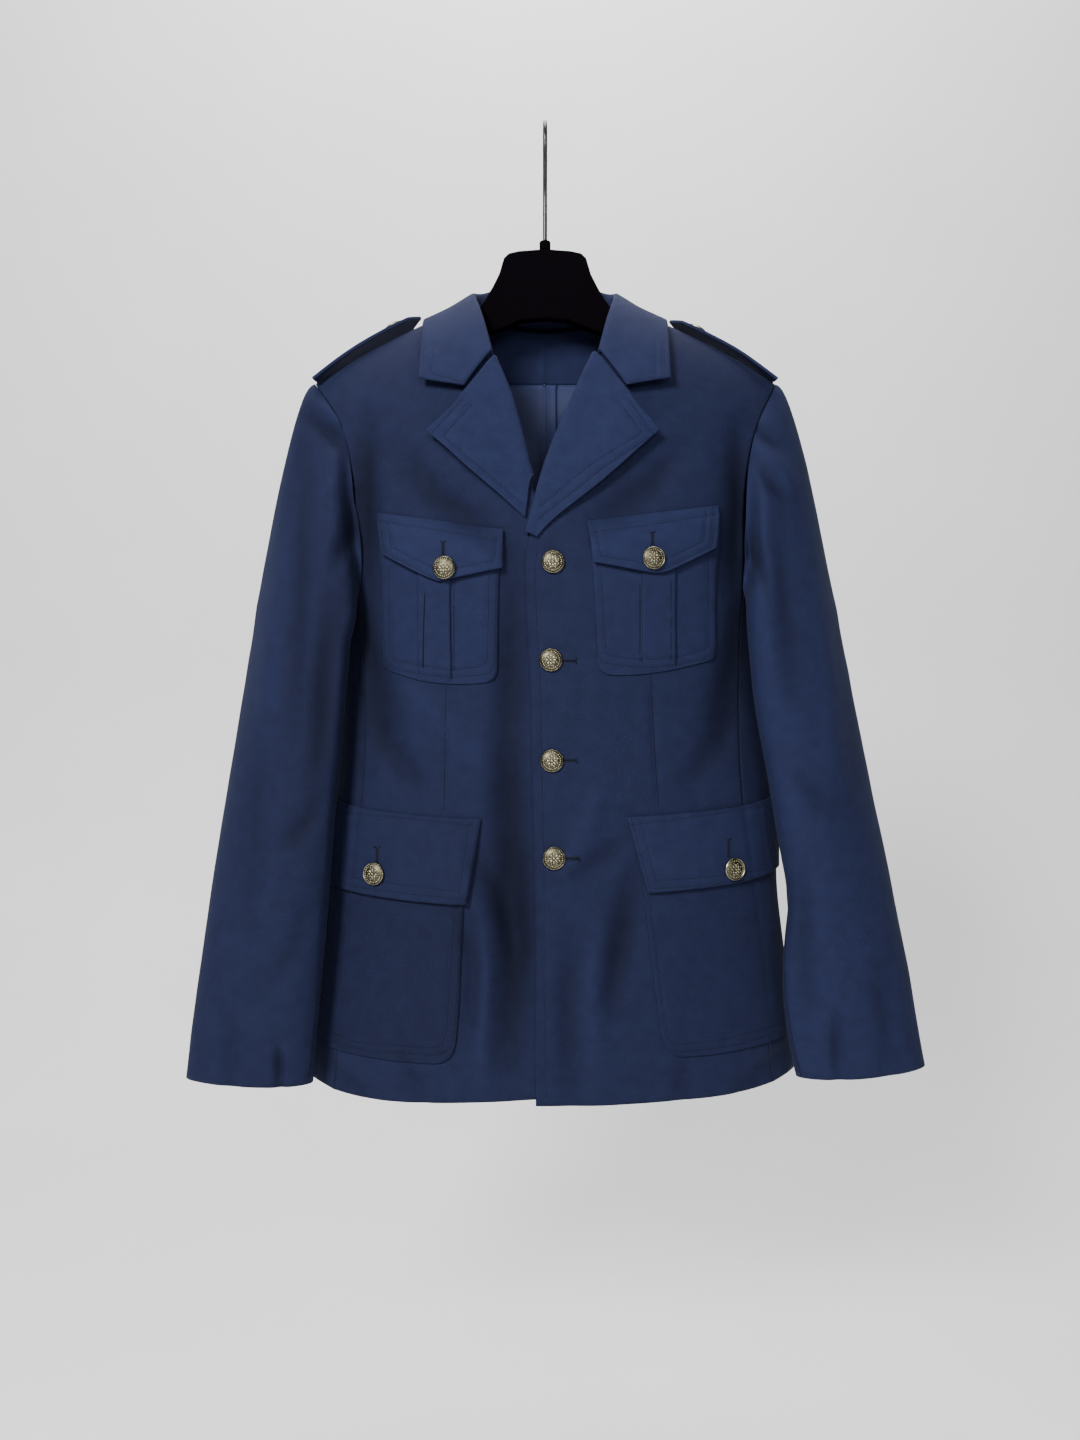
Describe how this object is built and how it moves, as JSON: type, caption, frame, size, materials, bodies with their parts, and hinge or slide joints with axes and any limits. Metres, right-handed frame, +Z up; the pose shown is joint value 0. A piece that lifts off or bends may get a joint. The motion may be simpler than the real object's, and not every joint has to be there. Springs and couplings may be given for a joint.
{
  "type": "suit jacket on a hanger",
  "caption": "Single-breasted tailored suit jacket with notched lapels, shoulder straps and flapped patch pockets, buttoned up and hung on a slim flocked hanger.",
  "frame": {"origin": "the inside top of the hanger's hook, where it rests on a rail", "axes": "+Z up; X across the jacket, with the wearer's left at +X; -Y out of the jacket's front"},
  "size_m": [0.6615, 0.1555, 0.898],
  "materials": {
    "navy_twill": "matte fine wool-blend twill",
    "lining_twill": "smooth lining twill",
    "button_metal": "aged pale brass, relief",
    "hanger_flock": "black flock",
    "hook_wire": "satin dark wire"
  },
  "bodies": {
    "root": {"front_right": "navy_twill", "side_right": "navy_twill", "back_right": "navy_twill", "sleeve_under_right": "navy_twill", "sleeve_top_right": "navy_twill", "lapel_right": "navy_twill", "shoulder_strap_right": "navy_twill", "front_left": "navy_twill", "side_left": "navy_twill", "back_left": "navy_twill", "sleeve_under_left": "navy_twill", "sleeve_top_left": "navy_twill", "lapel_left": "navy_twill", "shoulder_strap_left": "navy_twill", "collar": "navy_twill", "back_neck_facing": "navy_twill", "chest_pocket_right": "navy_twill", "chest_pocket_left": "navy_twill", "chest_flap_right": "navy_twill", "chest_flap_left": "navy_twill", "hip_pocket_right": "navy_twill", "hip_pocket_left": "navy_twill", "hip_flap_right": "navy_twill", "hip_flap_left": "navy_twill", "back_lining": "lining_twill", "button_front_1": "button_metal", "button_front_2": "button_metal", "button_front_3": "button_metal", "button_front_4": "button_metal", "button_chest_right": "button_metal", "button_chest_left": "button_metal", "button_hip_right": "button_metal", "button_hip_left": "button_metal", "button_shoulder_right": "button_metal", "button_shoulder_left": "button_metal", "hanger_body": "hanger_flock", "hanger_ferrule": "hanger_flock", "hanger_hook": "hook_wire"}
  },
  "joints": []
}
